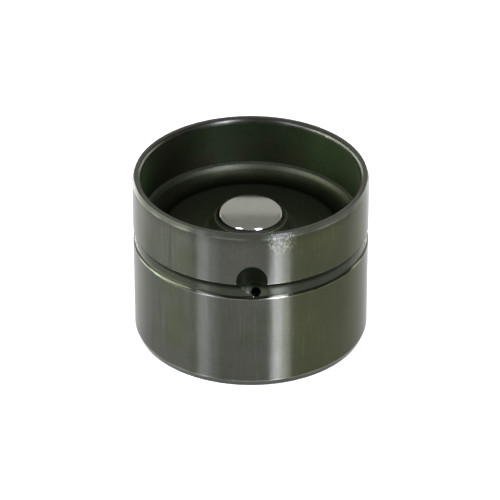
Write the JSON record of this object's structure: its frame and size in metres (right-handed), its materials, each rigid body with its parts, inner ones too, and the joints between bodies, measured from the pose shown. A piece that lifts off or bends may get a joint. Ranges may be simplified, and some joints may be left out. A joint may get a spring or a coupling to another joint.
{
  "type": "hydraulic bucket tappet",
  "caption": "Round steel bucket tappet with an oil groove, an oil pocket with its hole, and a sprung hydraulic element guided inside its open skirt.",
  "frame": {"origin": "centre of the closed cam face, on the tappet's axis", "axes": "+Z along the tappet's axis from the cam face towards the open skirt and the valve; the oil pocket and its hole face -Y"},
  "size_m": [0.035, 0.035, 0.026],
  "materials": {
    "dark_steel": "ground, dark grey-olive",
    "web_steel": "satin, dark grey-olive",
    "ground_steel": "fine ground, bright",
    "piston_steel": "ground",
    "ball_steel": "polished",
    "spring_steel": "drawn wire",
    "cap_steel": "pressed sheet"
  },
  "bodies": {
    "bucket": {"bucket_shell": "dark_steel", "guide_web": "web_steel", "piston": "piston_steel", "valve_cap": "cap_steel", "return_spring": "spring_steel", "ball_spring": "spring_steel"},
    "element": {"inner_housing": "ground_steel"},
    "ball": {"check_ball": "ball_steel"}
  },
  "joints": [
    {"name": "element_slide", "type": "slide", "parent": "bucket", "child": "element", "axis": [0, 0, 1], "range_m": [-0.0026, 0], "stiffness_N_per_m": 400, "springref_m": 0.0005, "deforming": ["return_spring"]},
    {"name": "ball_lift", "type": "slide", "parent": "bucket", "child": "ball", "axis": [0, 0, 1], "range_m": [0, 0.0002], "stiffness_N_per_m": 10, "springref_m": -0.0005, "deforming": ["ball_spring"]}
  ]
}
